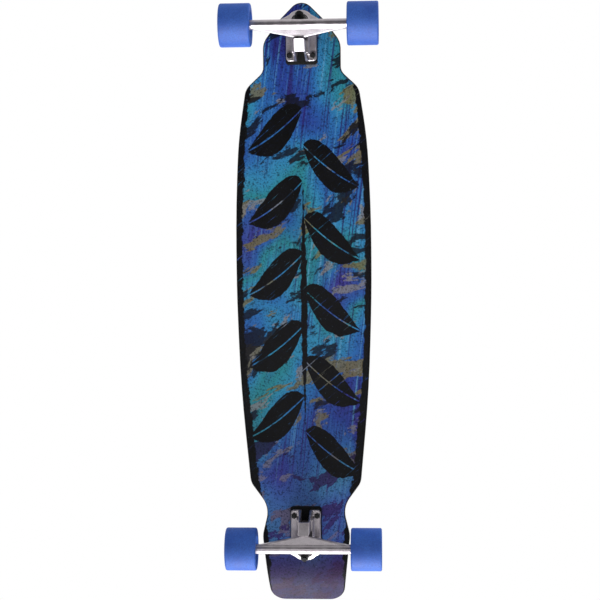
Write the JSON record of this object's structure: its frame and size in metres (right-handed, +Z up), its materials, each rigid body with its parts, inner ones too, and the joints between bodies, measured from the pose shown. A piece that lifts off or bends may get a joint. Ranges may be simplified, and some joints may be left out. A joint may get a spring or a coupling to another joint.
{
  "type": "longboard skateboard",
  "caption": "Longboard skateboard with a cut-out deck, kicktail, reverse-kingpin trucks and soft blue wheels, for a rider to stand on and roll.",
  "frame": {"origin": "on the ground under the middle of the deck's length, in the board's centre plane", "axes": "+X towards the nose, +Y to the rider's left, +Z up from the ground through the deck"},
  "size_m": [1.0759, 0.274, 0.152],
  "materials": {
    "deck_ply": "printed and lacquered",
    "grip_sheet": "abrasive",
    "black_rubber": "matte",
    "cast_metal": "tumbled casting",
    "black_steel": "black oxide",
    "plated_steel": "zinc plated",
    "black_urethane": "satin",
    "blue_urethane": "satin, slightly milky",
    "white_nylon": "moulded"
  },
  "bodies": {
    "board": {"deck": "deck_ply", "grip_tape": "grip_sheet", "front_riser_pad": "black_rubber", "front_baseplate": "cast_metal", "front_mounting_bolts": "black_steel", "front_mounting_nuts": "black_steel", "front_kingpin": "plated_steel", "front_kingpin_nut": "black_steel", "front_pivot_cup": "black_urethane", "front_board_bushing": "black_urethane", "front_road_bushing": "black_urethane", "front_board_washer": "plated_steel", "front_road_washer": "black_steel", "rear_riser_pad": "black_rubber", "rear_baseplate": "cast_metal", "rear_mounting_bolts": "black_steel", "rear_mounting_nuts": "black_steel", "rear_kingpin": "plated_steel", "rear_kingpin_nut": "black_steel", "rear_pivot_cup": "black_urethane", "rear_board_bushing": "black_urethane", "rear_road_bushing": "black_urethane", "rear_board_washer": "plated_steel", "rear_road_washer": "black_steel"},
    "front_truck": {"front_hanger": "cast_metal", "front_axle": "plated_steel", "front_axle_nuts": "plated_steel", "front_speed_washers": "plated_steel", "front_bearing_spacers": "plated_steel", "front_bearing_inner_rings": "plated_steel"},
    "front_left_wheel": {"front_left_tyre": "blue_urethane", "front_left_wheel_core": "white_nylon", "front_left_bearing_outer_rings": "plated_steel", "front_left_bearing_balls": "plated_steel", "front_left_bearing_shields": "plated_steel"},
    "front_right_wheel": {"front_right_tyre": "blue_urethane", "front_right_wheel_core": "white_nylon", "front_right_bearing_outer_rings": "plated_steel", "front_right_bearing_balls": "plated_steel", "front_right_bearing_shields": "plated_steel"},
    "rear_truck": {"rear_hanger": "cast_metal", "rear_axle": "plated_steel", "rear_axle_nuts": "plated_steel", "rear_speed_washers": "plated_steel", "rear_bearing_spacers": "plated_steel", "rear_bearing_inner_rings": "plated_steel"},
    "rear_left_wheel": {"rear_left_tyre": "blue_urethane", "rear_left_wheel_core": "white_nylon", "rear_left_bearing_outer_rings": "plated_steel", "rear_left_bearing_balls": "plated_steel", "rear_left_bearing_shields": "plated_steel"},
    "rear_right_wheel": {"rear_right_tyre": "blue_urethane", "rear_right_wheel_core": "white_nylon", "rear_right_bearing_outer_rings": "plated_steel", "rear_right_bearing_balls": "plated_steel", "rear_right_bearing_shields": "plated_steel"}
  },
  "joints": [
    {"name": "front_steer", "type": "hinge", "parent": "board", "child": "front_truck", "pos_m": [0.499, 0, 0.0675], "axis": [0.8192, 0, 0.5736], "range_deg": [-20, 20], "stiffness_Nm_per_rad": 60, "deforming": ["front_board_bushing", "front_road_bushing"]},
    {"name": "front_left_spin", "type": "hinge", "parent": "front_truck", "child": "front_left_wheel", "pos_m": [0.492, 0.103, 0.0375], "axis": [0, 1, 0], "continuous": true},
    {"name": "front_right_spin", "type": "hinge", "parent": "front_truck", "child": "front_right_wheel", "pos_m": [0.492, -0.103, 0.0375], "axis": [0, 1, 0], "continuous": true},
    {"name": "rear_steer", "type": "hinge", "parent": "board", "child": "rear_truck", "pos_m": [-0.429, 0, 0.0675], "axis": [-0.8192, 0, 0.5736], "range_deg": [-20, 20], "stiffness_Nm_per_rad": 60, "deforming": ["rear_board_bushing", "rear_road_bushing"]},
    {"name": "rear_left_spin", "type": "hinge", "parent": "rear_truck", "child": "rear_left_wheel", "pos_m": [-0.422, 0.103, 0.0375], "axis": [0, 1, 0], "continuous": true},
    {"name": "rear_right_spin", "type": "hinge", "parent": "rear_truck", "child": "rear_right_wheel", "pos_m": [-0.422, -0.103, 0.0375], "axis": [0, 1, 0], "continuous": true}
  ]
}
